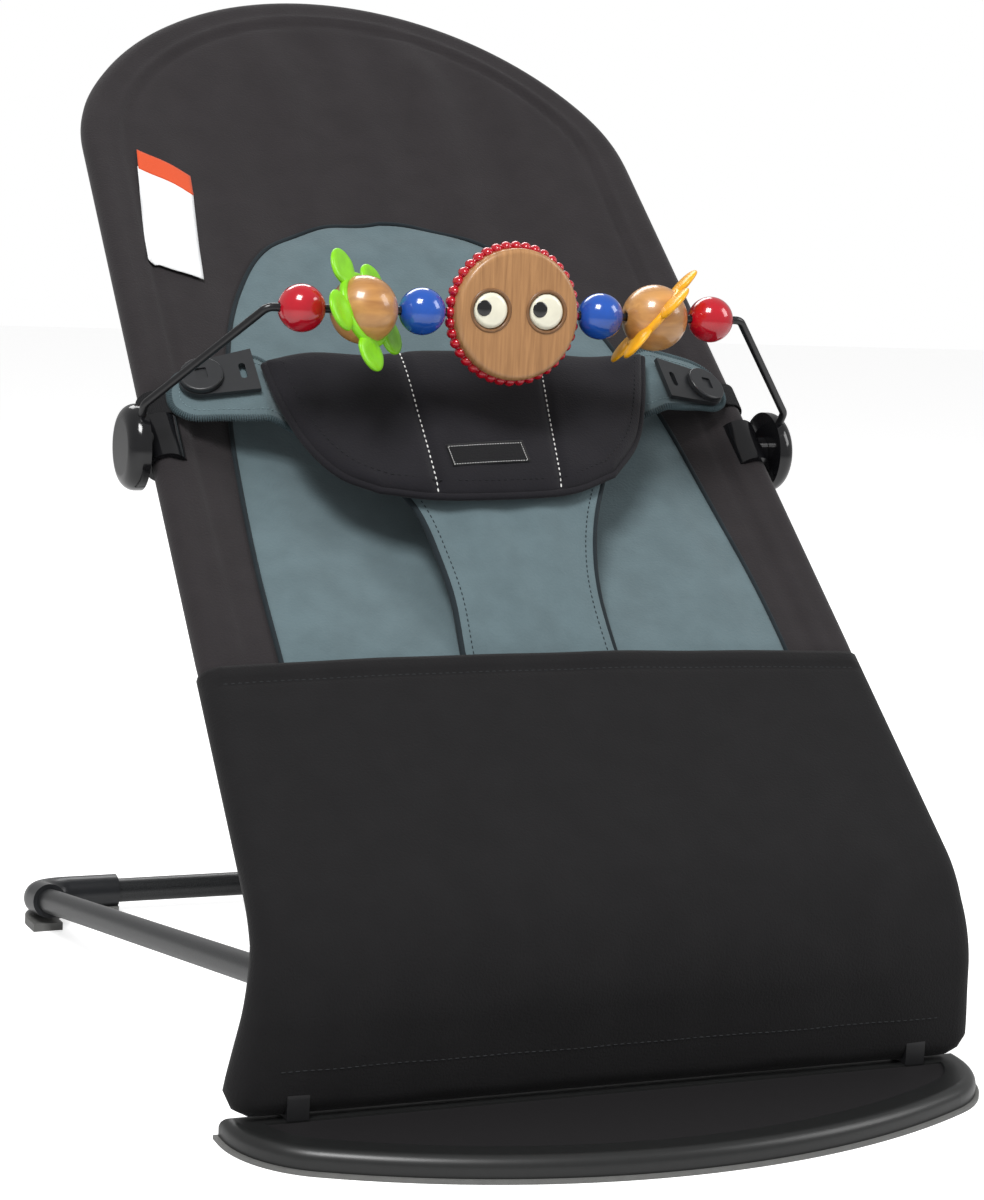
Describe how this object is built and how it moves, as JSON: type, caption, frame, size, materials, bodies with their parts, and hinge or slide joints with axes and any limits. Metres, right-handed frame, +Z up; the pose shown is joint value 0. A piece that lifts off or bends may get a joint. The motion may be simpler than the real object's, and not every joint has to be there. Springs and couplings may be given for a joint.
{
  "type": "bouncer seat",
  "caption": "Reclining baby bouncer seat: tube loop with fabric sling and harness on a folding rear stand and hinged footplate, with a swinging wire bar of wooden toys.",
  "frame": {"origin": "on the floor, at the middle of the object's footprint", "axes": "+X is the sitter's left, +Y points behind the seat, +Z is up; the baby faces -Y"},
  "size_m": [0.409, 0.6216, 0.5561],
  "materials": {
    "tube_steel": "powder-coated steel tube, dark grey, satin",
    "steel": "plain steel",
    "wire_black": "black coated steel wire",
    "black_plastic": "moulded plastic, black, satin",
    "grey_plastic": "moulded plastic, dark grey",
    "gloss_black": "gloss black moulded plastic",
    "rubber_grey": "grey non-slip rubber",
    "board_black": "fine-grained black board",
    "rim_plastic": "satin dark grey moulded rim",
    "fabric_black": "black woven cotton",
    "fabric_slate": "slate blue-grey brushed fabric",
    "webbing_black": "black woven elastic",
    "label_white": "plain white satin tag with a coloured band",
    "patch_black": "plain woven patch",
    "wood": "clear-lacquered hardwood",
    "bead_red": "glossy red lacquer",
    "bead_blue": "glossy blue lacquer",
    "petal_green": "soft-gloss green plastic",
    "petal_yellow": "soft-gloss yellow plastic",
    "eye_cream": "cream plastic with a black pupil"
  },
  "bodies": {
    "stand": {"stand_crossbar": "tube_steel", "stand_side_left": "tube_steel", "stand_side_right": "tube_steel", "stand_corner_left": "grey_plastic", "stand_corner_right": "grey_plastic", "foot_pad_left": "rubber_grey", "foot_pad_right": "rubber_grey", "corner_rivets": "steel", "stand_end_left": "black_plastic", "stand_end_right": "black_plastic"},
    "seat": {"upper_hoop": "tube_steel", "lower_frame": "tube_steel", "hoop_spigots": "steel", "hinge_bracket_left": "black_plastic", "hinge_bracket_right": "black_plastic", "hinge_pin_left": "steel", "hinge_pin_right": "steel", "detent_springs": "steel", "bracket_rivets": "steel", "seat_cover": "fabric_black", "front_band": "fabric_black", "harness_panel": "fabric_black", "crotch_strap": "fabric_slate", "blank_patch": "patch_black", "blank_label": "label_white", "harness_tab_left": "fabric_slate", "harness_tab_right": "fabric_slate", "adjuster_plate_left": "grey_plastic", "adjuster_plate_right": "grey_plastic", "webbing_left": "webbing_black", "webbing_right": "webbing_black", "bar_clamp_left": "gloss_black", "bar_clamp_right": "gloss_black"},
    "footplate": {"footplate_base": "rubber_grey", "footplate_rim": "rim_plastic", "footplate_board": "board_black", "hinge_lug_left": "black_plastic", "hinge_lug_right": "black_plastic", "lug_screws": "steel"},
    "toy_bar": {"toy_wire": "wire_black", "clamp_dome_left": "gloss_black", "clamp_dome_right": "gloss_black"},
    "red_bead_left": {"bead_red_left": "bead_red"},
    "blue_bead_left": {"bead_blue_left": "bead_blue"},
    "flower_ball_left": {"ball_wood_left": "wood", "flower_green": "petal_green"},
    "red_bead_right": {"bead_red_right": "bead_red"},
    "blue_bead_right": {"bead_blue_right": "bead_blue"},
    "flower_ball_right": {"ball_wood_right": "wood", "flower_yellow": "petal_yellow"},
    "face": {"face_disc": "wood", "face_rim": "bead_red"},
    "eye_left_body": {"eye_left": "eye_cream"},
    "eye_right_body": {"eye_right": "eye_cream"},
    "toggle_left": {"toggle_button_left": "grey_plastic"},
    "toggle_right": {"toggle_button_right": "grey_plastic"}
  },
  "joints": [
    {"name": "recline", "type": "hinge", "parent": "stand", "child": "seat", "pos_m": [0, -0.2028, 0.0735], "axis": [1, 0, 0], "range_deg": [-40.5, 0]},
    {"name": "footplate_hinge", "type": "hinge", "parent": "seat", "child": "footplate", "pos_m": [0, -0.2148, 0.0225], "axis": [1, 0, 0], "range_deg": [0, 40.5]},
    {"name": "toy_bar_swing", "type": "hinge", "parent": "seat", "child": "toy_bar", "pos_m": [0, 0.01536, 0.30263], "axis": [1, 0, 0], "range_deg": [-30, 20]},
    {"name": "red_spin_left", "type": "hinge", "parent": "toy_bar", "child": "red_bead_left", "pos_m": [-0.118, -0.04138, 0.38131], "axis": [1, 0, 0], "continuous": true},
    {"name": "blue_spin_left", "type": "hinge", "parent": "toy_bar", "child": "blue_bead_left", "pos_m": [-0.0515, -0.04138, 0.38131], "axis": [1, 0, 0], "continuous": true},
    {"name": "flower_spin_left", "type": "hinge", "parent": "toy_bar", "child": "flower_ball_left", "pos_m": [-0.084, -0.04138, 0.38131], "axis": [1, 0, 0], "continuous": true},
    {"name": "red_spin_right", "type": "hinge", "parent": "toy_bar", "child": "red_bead_right", "pos_m": [0.118, -0.04138, 0.38131], "axis": [1, 0, 0], "continuous": true},
    {"name": "blue_spin_right", "type": "hinge", "parent": "toy_bar", "child": "blue_bead_right", "pos_m": [0.0515, -0.04138, 0.38131], "axis": [1, 0, 0], "continuous": true},
    {"name": "flower_spin_right", "type": "hinge", "parent": "toy_bar", "child": "flower_ball_right", "pos_m": [0.084, -0.04138, 0.38131], "axis": [1, 0, 0], "continuous": true},
    {"name": "face_spin", "type": "hinge", "parent": "toy_bar", "child": "face", "pos_m": [0, -0.04138, 0.38131], "axis": [1, 0, 0], "continuous": true},
    {"name": "eye_turn_left", "type": "hinge", "parent": "face", "child": "eye_left_body", "pos_m": [-0.016, -0.05038, 0.38331], "axis": [0, -1, 0], "continuous": true},
    {"name": "eye_turn_right", "type": "hinge", "parent": "face", "child": "eye_right_body", "pos_m": [0.016, -0.05038, 0.38331], "axis": [0, -1, 0], "continuous": true},
    {"name": "toggle_turn_left", "type": "hinge", "parent": "seat", "child": "toggle_left", "pos_m": [-0.151, 0.02354, 0.34079], "axis": [-0.2588, -0.6273, 0.7345], "range_deg": [0, 90]},
    {"name": "toggle_turn_right", "type": "hinge", "parent": "seat", "child": "toggle_right", "pos_m": [0.151, 0.02354, 0.34079], "axis": [0.2588, -0.6273, 0.7345], "range_deg": [0, 90]}
  ],
  "couplings": [
    {"joint": "footplate_hinge", "follows": "recline", "ratio": -1}
  ]
}
